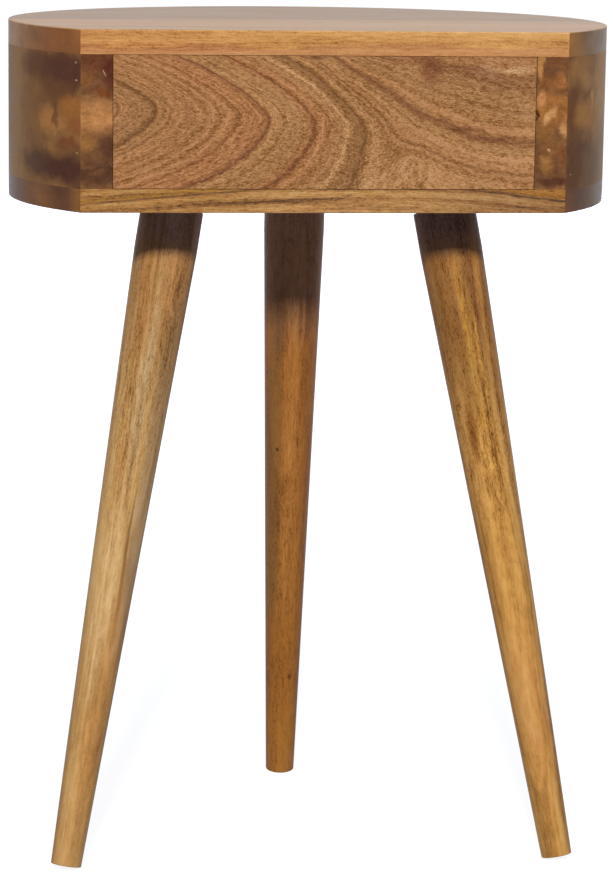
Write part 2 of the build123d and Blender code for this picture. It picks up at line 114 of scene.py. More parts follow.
class Nodes:
    """The nodes of a material or of the world, added one by one."""

    def __init__(self, owner):
        owner.use_nodes = True
        self.owner = owner
        self.nodes = owner.node_tree.nodes
        self.links = owner.node_tree.links
        self.nodes.clear()

    def node(self, kind, settings=None, sockets=None, output=0):
        """Add a node: its settings first, then its sockets' values or links."""
        made = self.nodes.new("ShaderNode" + kind)
        for key, value in (settings or {}).items():
            if key == "stops":
                self.set_stops(made.color_ramp, value)
            else:
                setattr(made, key, value)
        for key, value in (sockets or {}).items():
            if isinstance(value, Value):
                self.links.new(value.socket, made.inputs[key])
            else:
                made.inputs[key].default_value = value
        return Value(self, made.outputs[output]) if made.outputs else None

    def set_stops(self, ramp, stops):
        """Give a colour ramp its places and colours."""
        while len(ramp.elements) > 1:
            ramp.elements.remove(ramp.elements[-1])
        for number, (place, colour) in enumerate(stops):
            element = ramp.elements[0] if number == 0 else ramp.elements.new(place)
            element.position = place
            element.color = colour

    def math(self, operation, *values):
        """Work out a number."""
        return self.node("Math", {"operation": operation}, dict(enumerate(values)))

    def vector(self, operation, *values, number=False):
        """Work out a vector, or the number that the operation gives."""
        output = "Value" if number else "Vector"
        return self.node("VectorMath", {"operation": operation}, dict(enumerate(values)), output)

    def along(self, at, direction):
        """How far a place lies along a direction."""
        return self.vector("DOT_PRODUCT", at, tuple(direction), number=True)

    def split(self, at):
        """The three numbers of a vector."""
        first = self.node("SeparateXYZ", sockets={0: at})
        return [Value(self, socket) for socket in first.socket.node.outputs]

    def join(self, *numbers):
        """A vector from its numbers."""
        return self.node("CombineXYZ", sockets=dict(enumerate(numbers)))

    def noise(self, at, scales, detail=2.0, roughness=0.5, shift=(0, 0, 0)):
        """Noise in space, stretched by a scale for each axis."""
        return self.node(
            "TexNoise",
            sockets={
                "Vector": self.vector("MULTIPLY_ADD", at, tuple(scales), tuple(shift)),
                "Scale": 1.0,
                "Detail": detail,
                "Roughness": roughness,
            },
            output="Fac",
        )

    def line_noise(self, at, detail=3.0, roughness=0.6):
        """Noise along one number, for growth rings."""
        return self.node(
            "TexNoise",
            {"noise_dimensions": "1D"},
            {"W": at, "Scale": 1.0, "Detail": detail, "Roughness": roughness},
            "Fac",
        )

    def rise(self, value, low, high):
        """Go smoothly from 0 at low to 1 at high."""
        return self.node(
            "MapRange",
            {"interpolation_type": "SMOOTHSTEP"},
            {"Value": value, "From Min": low, "From Max": high},
            "Result",
        )

    def fall(self, value, low, high):
        """Go smoothly from 1 at low to 0 at high."""
        return self.node(
            "MapRange",
            {"interpolation_type": "SMOOTHSTEP"},
            {"Value": value, "From Min": low, "From Max": high, "To Min": 1.0, "To Max": 0.0},
            "Result",
        )

    def near(self, first, second, edge):
        """1 about the middle of a soft place and 0 past its edge; both numbers count half widths."""
        return self.fall(self.vector("LENGTH", self.join(first, second, 0.0), number=True), *edge)

    def ramp(self, value, stops):
        """Turn a number into a colour."""
        return self.node("ValToRGB", {"stops": stops}, {"Fac": value}, "Color")

    def shade(self, tone, reach, dark, light):
        """A factor for a tone: dark below the middle, 1 at the middle, light above it."""
        return self.ramp(tone, [(0.5 - reach, dark), (0.5, WHITE), (0.5 + reach, light)])

    def blend(self, first, second, share, mode="MIX"):
        """Mix two colours by a share."""
        return self.node(
            "Mix",
            {"data_type": "RGBA", "blend_type": mode, "clamp_factor": True},
            {0: share, 6: first, 7: second},
            2,
        )


class Finish(Nodes):
    """One material, with the places on its surface and the way that it faces."""

    def __init__(self, name):
        super().__init__(bpy.data.materials.new(name))
        self.spot = self.node("TexCoord", output="Object")
        self.facing = self.node("TexCoord", output="Normal")

    def faces(self, way, low, high, either_way=False):
        """Go from 0 to 1 as the surface turns to face a way."""
        turned = self.along(self.facing, way)
        return self.rise(abs(turned) if either_way else turned, low, high)

    def surface(self, colour, roughness, height=None, bump=0.0, bump_depth=0.0002, fixed=None):
        """Finish the material with one shader; fixed holds its constant sockets."""
        sockets = {"Base Color": colour, "Roughness": roughness}
        sockets.update(fixed or {})
        if height is not None:
            sockets["Normal"] = self.node(
                "Bump", sockets={"Strength": bump, "Distance": bump_depth, "Height": height}
            )
        shader = self.node("BsdfPrincipled", sockets=sockets)
        self.node("OutputMaterial", sockets={"Surface": shader})
        return self.owner


# Wood tones: dark, middle, light and the warmer heart
HONEY = (srgb(150, 92, 42), srgb(206, 150, 84), srgb(230, 178, 112), srgb(194, 126, 72))
STRAW = (srgb(88, 54, 26), srgb(168, 116, 60), srgb(206, 160, 96), srgb(146, 102, 38))
KHAKI = (srgb(124, 82, 40), srgb(198, 152, 92), srgb(230, 190, 130), srgb(186, 124, 62))
OCHRE = (srgb(118, 72, 30), srgb(206, 152, 80), srgb(234, 188, 116), srgb(188, 122, 56))
AMBER = (srgb(96, 56, 22), srgb(168, 110, 50), srgb(190, 132, 66), srgb(152, 92, 44))
BIRCH = (srgb(150, 116, 80), srgb(196, 164, 122), srgb(216, 188, 148), srgb(180, 144, 102))
BEECH = (srgb(158, 112, 74), srgb(204, 160, 116), srgb(222, 182, 140), srgb(186, 138, 96))

# Lacquer on the boards, and a duller one on the curved wall
GLOSS = {"Coat Roughness": 0.25, "Coat IOR": 1.45, "Specular IOR Level": 0.1}
SHEEN = {"Coat Roughness": 0.3, "Coat IOR": 1.4, "Specular IOR Level": 0.03}
LACQUER = 0.29
LEG_LACQUER = 0.05
DRAWER_FRONT_LACQUER = 0.1


def grain_space(finish, direction, deep, start=ORIGIN, bow=0.0):
    """Turn places into metres along the grain, across it and into the face.

    A bow bends the grain into an arch that sinks to both ends.
    """
    direction = Vector(direction).normalized()
    deep = Vector(deep)
    deep = (deep - direction * deep.dot(direction)).normalized()
    across = deep.cross(direction)
    place = finish.vector("SUBTRACT", finish.spot, tuple(start))
    run, side, inward = [finish.along(place, way) for way in (direction, across, deep)]
    return finish.join(run, side, run * run * bow + inward if bow else inward)


def growth_rings(finish, grain, pith, spacing, wander, seed):
    """Growth rings round a pith line that runs along the grain, counted in rings."""
    across, deep = finish.split(grain)[1:]
    sway = finish.noise(grain, (4.5, 11, 11), 2.0, 0.5, (seed, 3.1, 7.7))
    lift = finish.noise(grain, (3.2, 8, 8), 2.0, 0.5, (5.3, seed, 1.9))
    across = across + sway.swing(wander) - pith[0]
    deep = deep + lift.swing(wander) - pith[1]
    return (across * across + deep * deep) ** 0.5 / spacing + seed


# How squarely a surface faces a way: where an effect starts to show, and where it is full
LOOKS_UP = (0.5, 0.9)
ENDS_SHOW = (0.3, 0.75)
FLAT_FRONT = (0.9, 0.97)
# Where a soft place and a leg's mark start to fade and are gone, counted in their half widths
PLACE_EDGE = (0.45, 1.45)
MARK_EDGE = (0.5, 1.3)

# How fine each kind of grain is, in turns in a metre: along the grain, across it and into the face
STREAKS = (5, 110, 110)
FIBRES = (85, 640, 640)
SPECKS = (380, 1250, 1250)
MOTTLES = (90, 240, 240)
HEARTWOOD = (5, 42, 42)
# And in space: soft clouds on a face, and smoke on end grain
CLOUDINESS = (11, 11, 11)
SMOKE = (45, 45, 60)
# Noise at which the warm heart and the pores start to show and are full
HEART_SHOWS = (0.44, 0.68)
PORES_SHOW = (0.58, 0.68)
# How far down a leg its fine grain calms, and what end grain does to a wood's middle tone
LEG_CALMS = (0.16, 0.28)
END_TONE = srgb(188, 163, 139)


def wood(
    name,
    direction=RIGHT,
    deep=UP,
    start=ORIGIN,
    tones=HONEY,
    pith=(0.03, -0.06),
    spacing=0.006,
    wander=0.03,
    seed=0.0,
    ring_share=0.8,
    streak_share=0.8,
    fibre_share=0.9,
    speck_share=0.9,
    pore_share=0.45,
    heart_share=0.6,
    blotch_share=0.4,
    mottle_share=0.0,
    touch=None,
    ends_tint=None,
    bow=0.0,
    calm_top=0.0,
    calm_foot=0.0,
    roughness=0.42,
    lacquer=LACQUER,
    gloss=GLOSS,
):
    """A board's wood: a warm or plain tint, shaded by rings, streaks, fibres, pores and blotches.

    Its end grain is smoky and takes less lacquer. calm_top quietens the faces that look up, and
    calm_foot quietens the fine grain down a leg. touch adds the piece's own marks to its tint, and
    ends_tint gives its end grain a colour of its own.
    """
    finish = Finish(name)
    grain = grain_space(finish, direction, deep, start, bow)
    figure = finish.line_noise(growth_rings(finish, grain, pith, spacing, wander, seed))
    streak = finish.noise(grain, STREAKS, 3.0, 0.6, (seed, 0, 2.7))
    fibre = finish.noise(grain, FIBRES, 2.0, 0.65, (seed, 4.1, 0))
    speck = finish.noise(grain, SPECKS, 1.0, 0.5, (0, seed, 8.3))
    cloud = finish.noise(finish.spot, CLOUDINESS, 2.0, 0.5, (seed, 1.1, 6.4))
    warmth = finish.noise(grain, HEARTWOOD, 2.0, 0.5, (1.9, 0, seed))
    dark, middle, light, heart = tones
    tint = finish.blend(middle, heart, finish.rise(warmth, *HEART_SHOWS) * heart_share)
    if touch is not None:
        tint = touch(finish, tint, grain, fibre)
    pores = finish.rise(speck, *PORES_SHOW) * pore_share
    fine = fibre.swing(fibre_share) + speck.swing(speck_share)
    if calm_foot:
        down_the_leg = finish.split(grain)[0]
        calm = 1.0 - finish.rise(down_the_leg, *LEG_CALMS) * calm_foot
        fine = fine * calm
        pores = pores * calm
    tone = fine + figure.swing(ring_share) + streak.swing(streak_share) + cloud.swing(blotch_share)
    if mottle_share:
        mottle = finish.noise(grain, MOTTLES, 2.0, 0.55, (seed, 2.2, 9.1))
        tone = tone + mottle.swing(mottle_share)
    if calm_top:
        tone = tone * (1.0 - finish.faces(UP, *LOOKS_UP) * calm_top)
    darken = part_of(dark, middle)
    shade = finish.shade(tone + 0.5, 0.42, darken, part_of(light, middle))
    colour = finish.blend(tint, shade, 1.0, "MULTIPLY")
    colour = finish.blend(colour, darken, pores, "MULTIPLY")
    ends = finish.faces(Vector(direction).normalized(), *ENDS_SHOW, either_way=True)
    smoke = finish.noise(finish.spot, SMOKE, 4.0, 0.55, (2.2, 5.1, 0))
    smoke_shade = finish.shade(smoke, 0.25, (0.7, 0.68, 0.66, 1), (1.3, 1.32, 1.34, 1))
    plain_end = ends_tint(finish) if ends_tint else finish.blend(middle, END_TONE, 1.0, "MULTIPLY")
    end_grain = finish.blend(plain_end, smoke_shade, 1.0, "MULTIPLY")
    colour = finish.blend(colour, end_grain, ends)
    rough = fibre.swing(0.16) + cloud.swing(0.12) + pores * 0.1 + roughness
    coat = {"Coat Weight": (1.0 - ends * 0.9) * lacquer, **gloss} if lacquer else gloss
    return finish.surface(colour, rough, fibre * 0.4 - pores, 0.3, 0.0001, coat)


def give(material, *nodes):
    """Put a material on CAD nodes."""
    for node in nodes:
        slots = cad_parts[node].data.materials
        slots.clear()
        slots.append(material)


def soft_places(finish, colour, x, z, places, within):
    """Blend soft places into a colour: x, z, half width, half height, tone and share of each."""
    for place_x, place_z, half_width, half_height, tone, share in places:
        near = finish.near((x - place_x) / half_width, (z - place_z) / half_height, PLACE_EDGE)
        colour = finish.blend(colour, tone, near * within * share)
    return colour


# Places on the drawer front are counted in steps, from about its upper left corner
FIGURE_STEP = 0.0693
FIGURE_LEFT_X = -0.147
FIGURE_TOP_Z = 0.5828


def front_figure(finish):
    """The drawer front's rings and the way along them, in steps.

    They are arches nested about a line that sinks to the right, then run level. The arches' upper
    and lower arms open by their own bows, which narrow to the right.
    """
    x, y, z = finish.split(finish.spot)
    sway = finish.noise(finish.spot, (24, 24, 24), 2.0, 0.5, (2.3, 0, 0)).swing(0.08)
    tremble = finish.noise(finish.spot, (110, 110, 110), 3.0, 0.65).swing(0.09)
    shiver = finish.noise(finish.spot, (330, 330, 430), 2.0, 0.6, (1, 6, 2)).swing(0.05)
    right = (x - FIGURE_LEFT_X) / FIGURE_STEP
    down = (FIGURE_TOP_Z - z) / FIGURE_STEP
    # The arches, about their sinking line
    below_line = down - 0.527 - right * 0.025 - right * right * 0.023
    upper_bow = finish.math("MAXIMUM", 2.44 - right * 0.48, 0.7)
    upper_bow = upper_bow + finish.rise(right, 1.95, 2.35) * finish.fall(right, 2.5, 3.1) * 0.31
    lower_bow = finish.math("MAXIMUM", 1.61 - right * 0.526, 0.25)
    bow = upper_bow + (lower_bow - upper_bow) * finish.rise(below_line, -0.15, 0.15)
    arches = right + bow * (below_line * below_line + 0.004) ** 0.69
    # The level rings further right, and the turn from one to the other
    off = right - 3.024
    level = 3.679 + off * 0.586 - off * off * 0.254 - down
    level = finish.math("MAXIMUM", level, (level - 2.66) * 0.15 + 2.66)
    turn = finish.rise(right + down.swing(0.5), 2.71, 3.37)
    rings = arches + (level - arches) * turn + sway + (tremble + shiver)
    return rings, below_line + (right * 0.4 - below_line) * turn


def front_zones():
    """The drawer front's colour from ring to ring: place, then tone."""
    grey, tan, red = srgb(155, 109, 68), srgb(166, 115, 70), srgb(168, 113, 69)
    khaki, pale, olive = srgb(169, 121, 74), srgb(183, 134, 86), srgb(150, 105, 62)
    return (
        (-0.5, grey), (0.08, tan), (0.33, grey), (0.465, olive), (0.67, tan), (1.02, tan),
        (1.35, red), (1.53, red), (1.64, khaki), (1.89, khaki), (2.04, red), (2.2, tan),
        (2.375, pale), (2.44, olive), (2.57, khaki), (2.87, tan), (3.05, khaki), (3.27, tan),
        (3.44, khaki), (3.72, grey), (3.9, tan), (4.3, red),
    )


# Dark lines in the drawer front's figure: ring, half width, tone, share
DARK = srgb(92, 54, 28)
MAROON = srgb(98, 52, 32)
FRONT_LINES = (
    (0.10, 0.020, DARK, 0.7),
    (0.28, 0.015, DARK, 0.3),
    (0.469, 0.022, DARK, 0.9),
    (0.62, 0.015, DARK, 0.5),
    (0.82, 0.020, DARK, 0.35),
    (1.04, 0.015, MAROON, 0.3),
    (1.28, 0.025, MAROON, 0.3),
    (1.573, 0.024, MAROON, 0.9),
    (1.89, 0.018, DARK, 0.35),
    (2.022, 0.022, MAROON, 0.65),
    (2.30, 0.020, DARK, 0.35),
    (2.543, 0.026, DARK, 0.8),
    (2.82, 0.022, DARK, 0.4),
    (3.167, 0.030, MAROON, 0.85),
    (3.46, 0.020, DARK, 0.35),
    (3.798, 0.020, MAROON, 0.6),
)
# Smears and pale places on the drawer front: x, z, half width, half height, tone and share
FRONT_SMEARS = (
    (0.0730, 0.574, 0.0075, 0.010, srgb(124, 72, 42), 0.95),
    (0.0880, 0.5757, 0.009, 0.0009, srgb(116, 60, 38), 0.75),
    (0.1050, 0.5740, 0.010, 0.0009, srgb(122, 66, 42), 0.65),
    (0.0985, 0.5325, 0.013, 0.0020, srgb(104, 50, 34), 0.60),
    (0.1230, 0.5264, 0.016, 0.0018, srgb(104, 50, 34), 0.55),
    (0.058, 0.5805, 0.016, 0.0035, srgb(146, 90, 56), 0.6),
    (0.134, 0.5740, 0.012, 0.0025, srgb(206, 164, 118), 0.5),
    (0.134, 0.5800, 0.012, 0.0030, srgb(150, 98, 62), 0.6),
    (0.112, 0.5730, 0.010, 0.0060, srgb(180, 134, 100), 0.4),
    (0.020, 0.4945, 0.014, 0.0050, srgb(190, 146, 98), 0.4),
    (-0.006, 0.5815, 0.008, 0.0012, srgb(88, 50, 40), 0.7),
)


def drawer_front_wood():
    """The drawer front: its figure's zones and dark lines, with smears and a fine grain."""
    finish = Finish("drawer_front_wood")
    rings, run = front_figure(finish)
    x, y, z = finish.split(finish.spot)
    weave = finish.join(run, rings, y / FIGURE_STEP)
    speck = finish.noise(weave, (36, 80, 20), 1.0, 0.6)
    grit = finish.noise(finish.spot, (430, 430, 1300), 2.0, 0.6, (7, 2, 5))
    fuzz = finish.noise(weave, (11, 30, 8), 3.0, 0.7, (3, 1, 2))
    figure = finish.line_noise(rings * 13.0, 2.0, 0.5)
    cloud = finish.noise(finish.spot, (13, 13, 13), 2.0, 0.5, (4.4, 0, 0))
    tone = speck.swing(1.2) + grit.swing(1.5) + fuzz.swing(1.0) + figure.swing(0.8) + cloud.swing(0.5)
    zones = front_zones()
    low, high = zones[0][0], zones[-1][0]
    stops = [((place - low) / (high - low), colour) for place, colour in zones]
    tint = finish.ramp((rings - low) / (high - low), stops)
    tint = soft_places(finish, tint, x, z, FRONT_SMEARS, fuzz * 1.6)
    shade = finish.shade(tone + 0.5, 0.4, (0.48, 0.41, 0.29, 1), (1.44, 1.58, 1.92, 1))
    colour = finish.blend(tint, shade, 1.0, "MULTIPLY")
    for place, width, line, share in FRONT_LINES:
        off = rings - place
        crisp = finish.fall(abs(off), width * 0.2, width * 1.7)
        tail = finish.rise(off, width * -6, 0.0) * finish.fall(off, 0.0, width)
        near = (crisp * 0.55 + tail * 0.4) * (fuzz.swing(2.6) + 0.85)
        colour = finish.blend(colour, line, near * share * 0.9)
    ends = finish.faces(RIGHT, *ENDS_SHOW, either_way=True)
    colour = finish.blend(colour, srgb(120, 78, 44), ends)
    rough = speck.swing(0.2) + cloud.swing(0.1) + 0.45
    coat = {"Coat Weight": DRAWER_FRONT_LACQUER, **GLOSS}
    return finish.surface(colour, rough, speck, 0.3, 0.0001, coat)


give(drawer_front_wood(), "drawer_front")

# The band along the top board's upper rim, where a pale highlight of its rounded arris is painted, and
# the strip of the front edges that faces forward
TOP_RIM = (CASE_TOP_Z - 0.0011, CASE_TOP_Z - 0.0003)
TOP_FRONT_EDGE = (FRONT_Y + 0.0003, FRONT_Y + 0.0015)
BOTTOM_FRONT_EDGE = (FRONT_Y + 0.0003, FRONT_Y + 0.0065)
# How far back the upper face turns greyer, and how high the pinker strip reaches
GREYER_BEHIND = (-0.056, -0.020)
STRIP_TOP = (0.5885, 0.5905)
# Painted highlights: the pale tones of the rounded top rim, on its long grain and on its end grain
PAINTED_RIM_HIGHLIGHT = srgb(232, 186, 128)
PAINTED_END_RIM_HIGHLIGHT = srgb(212, 164, 112)


def top_touch(finish, colour, grain, fibre):
    """The top's upper face is greyer behind its front staves, and a pale highlight is painted along its
    rim.
    """
    up = finish.faces(UP, *LOOKS_UP)
    y, z = finish.split(finish.spot)[1:]
    band = finish.noise(finish.spot, (2.2, 26, 30), 2.0, 0.5, (0.4, 7.7, 0))
    colour = finish.blend(colour, srgb(168, 122, 70), up * 0.8)
    behind = finish.rise(band.swing(0.07) + y, *GREYER_BEHIND) * up
    colour = finish.blend(colour, srgb(129, 91, 47), behind * 0.85)
    colour = finish.blend(colour, srgb(96, 62, 34), behind * finish.rise(band, 0.53, 0.66) * 0.6)
    # Painted highlight along the top rim of the front and side faces
    return finish.blend(colour, PAINTED_RIM_HIGHLIGHT, finish.rise(z, *TOP_RIM) * (1.0 - up) * 0.6)


def top_edge_touch(finish, colour, grain, fibre):
    """The top board's front edge: a pinker strip under a wavy line."""
    colour = top_touch(finish, colour, grain, fibre)
    y, z = finish.split(finish.spot)[1:]
    wave = finish.noise(finish.spot, (14, 14, 60), 2.0).swing(0.012)
    strip = finish.fall(z + wave, *STRIP_TOP) * finish.fall(y, *TOP_FRONT_EDGE)
    return finish.blend(colour, srgb(178, 116, 74), strip * 0.55)


def bottom_edge_touch(finish, colour, grain, fibre):
    """The bottom board's front edge.

    It has an olive streak at the left over a dark line, and a dark slant at the right under gold.
    """
    x, y, z = finish.split(finish.spot)
    front = finish.fall(y, *BOTTOM_FRONT_EDGE)
    middle = finish.fall(abs(x - 0.01), 0.03, 0.10)
    colour = finish.blend(colour, srgb(146, 100, 58), front * finish.rise(x, 0.03, 0.13) * 0.7)
    colour = finish.blend(colour, srgb(198, 144, 88), front * middle * 0.3)
    wave = finish.noise(finish.spot, (26, 26, 90), 3.0).swing(0.003)
    rise_left = z + wave - (x * 0.09 + 0.4955)
    olive = finish.fall(abs(rise_left - 0.0016), 0.0006, 0.002) * finish.fall(x, -0.09, -0.02)
    colour = finish.blend(colour, srgb(168, 118, 40), olive * front * (fibre.swing(2.0) + 0.6))
    line = finish.fall(abs(rise_left + 0.0008), 0.0002, 0.0012) * finish.fall(x, -0.05, 0.0)
    colour = finish.blend(colour, srgb(78, 44, 24), line * front * (fibre.swing(2.5) + 0.6))
    slant = z + wave * 2.0 - (0.4925 - (x - 0.09) * 0.13)
    gold = finish.rise(slant, 0.0006, 0.002) * finish.rise(x, 0.09, 0.12)
    colour = finish.blend(colour, srgb(164, 106, 36), gold * front * 0.7)
    line = finish.fall(abs(slant), 0.0003, 0.0014) * finish.rise(x, 0.06, 0.1)
    return finish.blend(colour, srgb(62, 36, 22), line * front * (fibre.swing(2.5) + 0.65))


def ends_by_side(*stops):
    """The boards' end grain: its tone changes from the left rim, round the back, to the right rim."""

    def tint(finish):
        x, y, z = finish.split(finish.spot)
        width = 2 * CASE_HALF_WIDTH
        places = [((place + CASE_HALF_WIDTH) / width, tone) for place, tone in stops]
        colour = finish.ramp((x + CASE_HALF_WIDTH) / width, places)
        # Painted highlight along the top rim of the end grain
        return finish.blend(colour, PAINTED_END_RIM_HIGHLIGHT, finish.rise(z, *TOP_RIM) * 0.5)

    return tint


# End grain round the rims: how far to the right, and tone
TOP_ENDS = ends_by_side(
    (-0.214, srgb(170, 121, 78)),
    (-0.205, srgb(149, 101, 54)),
    (-0.190, srgb(137, 85, 47)),
    (-0.176, srgb(149, 94, 51)),
    (0.0, srgb(140, 98, 62)),
    (0.172, srgb(166, 110, 53)),
    (0.180, srgb(146, 101, 54)),
    (0.190, srgb(129, 99, 67)),
    (0.200, srgb(160, 132, 104)),
)
BOTTOM_ENDS = ends_by_side(
    (-0.214, srgb(82, 50, 14)),
    (-0.204, srgb(114, 66, 12)),
    (-0.197, srgb(131, 83, 37)),
    (-0.184, srgb(97, 60, 33)),
    (-0.1775, srgb(102, 63, 39)),
    (-0.172, srgb(132, 88, 44)),
    (0.0, srgb(112, 78, 52)),
    (0.172, srgb(117, 71, 31)),
    (0.180, srgb(98, 58, 25)),
    (0.192, srgb(104, 68, 40)),
    (0.202, srgb(120, 94, 70)),
)

# Boards: each stave is from its own log
for number in range(1, 6):
    give(
        wood(
            f"top_stave_wood_{number}",
            tones=HONEY,
            pith=(0.02 * number - 0.05, -0.05 - 0.012 * number),
            seed=3.7 * number,
            heart_share=0.45,
            touch=top_edge_touch if number == 1 else top_touch,
            ends_tint=TOP_ENDS,
            calm_top=0.45,
        ),
        f"top_board_stave_{number}",
    )
    give(
        wood(
            f"bottom_stave_wood_{number}",
            tones=STRAW,
            pith=(0.03 - 0.015 * number, 0.03 + 0.01 * number),
            spacing=0.0045,
            seed=5.9 * number + 1.3,
            ring_share=1.3,
            streak_share=1.2,
            touch=bottom_edge_touch if number == 1 else None,
            ends_tint=BOTTOM_ENDS,
            bow=0.2,
        ),
        f"bottom_board_stave_{number}",
    )

# Tones of the curved wall's clouds, from dark to light, and quieter ones towards the back
CALM_CLOUDS = [
    (0.34, srgb(102, 68, 46)),
    (0.46, srgb(124, 86, 55)),
    (0.56, srgb(138, 98, 61)),
    (0.68, srgb(156, 110, 66)),
]
CLOUDS = [
    (0.32, srgb(92, 59, 42)),
    (0.44, srgb(117, 79, 51)),
    (0.54, srgb(140, 99, 62)),
    (0.68, srgb(168, 118, 68)),
]
# How fine the swirls are, in turns in a metre, and how far they shift the wall's clouds
SWIRL_FINENESS = 70.0
SWIRL_REACH = 0.011
# Where the wall's front part fades out, and where its rear part fades in
WALL_FRONT_PART = (-0.06, -0.03)
WALL_REAR_PART = (-0.075, -0.02)


def wall_wood(name, seed, side_places=(), front_places=(), fleck_places=()):
    """Curved wall and posts: polished wood, smooth and clouded, with dark and golden places.

    Side places show on the front half of the curve, and front places on the flat front. Behind
    them the grain runs round the curve.
    """
    finish = Finish(name)
    x, y, z = finish.split(finish.spot)
    turned = finish.math("ARCTAN2", x / CASE_HALF_WIDTH, (y - CASE_CENTRE_Y) / CASE_BACK_REACH)
    around = finish.join(turned * CASE_HALF_WIDTH, z, seed)
    streak = finish.noise(around, (6, 120, 1), 3.0, 0.6, (seed, 0, 2.7))
    fibre = finish.noise(around, (85, 640, 1), 2.0, 0.65, (seed, 4.1, 0))
    band = finish.noise(around, (5, 24, 1), 2.0, 0.5, (1.3, seed, 0))
    back = finish.rise(y, *WALL_REAR_PART)
    swirl = finish.node(
        "TexNoise",
        sockets={"Vector": finish.spot, "Scale": SWIRL_FINENESS, "Detail": 4.0, "Roughness": 0.6},
        output="Color",
    )
    moved = finish.vector("MULTIPLY_ADD", swirl, (SWIRL_REACH,) * 3, finish.spot)
    moved = finish.vector("SUBTRACT", moved, (SWIRL_REACH / 2,) * 3)
    x, y, z = finish.split(moved)
    cloud = finish.noise(moved, (19, 19, 30), 3.0, 0.55, (seed, 0, 1.7))
    mottle = finish.noise(moved, (150, 150, 150), 3.0, 0.6, (0, seed, 4.4))
    slant = finish.noise(moved, (240, 240, 700), 3.0, 0.6, (3.3, 0, seed))
    grit = finish.noise(finish.spot, (900, 900, 900), 2.0, 0.5, (seed, 8.8, 0))
    flat = finish.faces(FORWARD, *FLAT_FRONT)
    colour = finish.ramp(cloud, CLOUDS)
    if side_places:
        curve = finish.fall(y, *WALL_FRONT_PART)
        colour = soft_places(finish, colour, x, z, side_places, curve)
        base = finish.blend(srgb(134, 92, 56), srgb(112, 74, 48), finish.rise(cloud, 0.4, 0.6))
        face = soft_places(finish, base, x, z, front_places, 1.0)
        colour = finish.blend(colour, face, flat)
    colour = finish.blend(colour, finish.ramp(band, CALM_CLOUDS), back)
    tone = (mottle.swing(0.7) + slant.swing(0.5) + grit.swing(0.35)) * (flat * 0.9 + 0.6)
    tone = tone * (1.0 - back * 0.6) + (streak.swing(1.1) + fibre.swing(0.9)) * back + 0.5
    shade = finish.shade(tone, 0.4, (0.62, 0.58, 0.55, 1), (1.42, 1.46, 1.5, 1))
    colour = finish.blend(colour, shade, 1.0, "MULTIPLY")
    if fleck_places:
        x, y, z = finish.split(finish.spot)
        front_part = finish.fall(y, *WALL_FRONT_PART)
        colour = soft_places(finish, colour, x, z, fleck_places, front_part)
    rough = mottle.swing(0.2) + cloud.swing(0.2) + 0.42
    return finish.surface(colour, rough, grit * 0.5 + mottle, 0.12, 0.0001, SHEEN)


# Places on the wall and posts: x, z, half width, half height, tone and share
LEFT_SIDE_PLACES = (
    (-0.2160, 0.535, 0.0022, 0.10, srgb(112, 74, 30), 0.9),
    (-0.213, 0.535, 0.011, 0.10, srgb(166, 123, 71), 0.85),
    (-0.200, 0.540, 0.008, 0.05, srgb(139, 97, 60), 0.7),
    (-0.195, 0.573, 0.012, 0.010, srgb(104, 67, 42), 0.85),
    (-0.177, 0.573, 0.014, 0.012, srgb(91, 57, 44), 0.95),
    (-0.186, 0.557, 0.010, 0.007, srgb(114, 76, 47), 0.75),
    (-0.175, 0.546, 0.008, 0.009, srgb(163, 104, 53), 0.9),
    (-0.1912, 0.536, 0.0048, 0.010, srgb(179, 123, 71), 0.95),
    (-0.1864, 0.540, 0.0014, 0.009, srgb(97, 56, 34), 0.6),
    (-0.173, 0.533, 0.006, 0.007, srgb(147, 89, 51), 0.85),
    (-0.178, 0.520, 0.008, 0.006, srgb(127, 77, 46), 0.85),
    (-0.196, 0.505, 0.011, 0.010, srgb(91, 63, 47), 0.85),
    (-0.179, 0.503, 0.016, 0.011, srgb(82, 51, 41), 0.97),
)
LEFT_FRONT_PLACES = (
    (-0.159, 0.577, 0.013, 0.008, srgb(103, 60, 38), 0.95),
    (-0.148, 0.571, 0.007, 0.013, srgb(89, 45, 34), 0.95),
    (-0.165, 0.564, 0.006, 0.005, srgb(132, 86, 49), 0.85),
    (-0.159, 0.541, 0.022, 0.011, srgb(182, 126, 76), 0.97),
    (-0.153, 0.5556, 0.006, 0.0026, srgb(126, 70, 38), 0.9),
    (-0.166, 0.524, 0.006, 0.008, srgb(150, 102, 56), 0.85),
    (-0.149, 0.518, 0.009, 0.009, srgb(89, 56, 40), 0.95),
    (-0.157, 0.500, 0.022, 0.009, srgb(87, 57, 40), 0.9),
    (-0.165, 0.506, 0.005, 0.0012, srgb(128, 82, 52), 0.45),
    (-0.157, 0.5025, 0.005, 0.0012, srgb(124, 78, 50), 0.45),
)
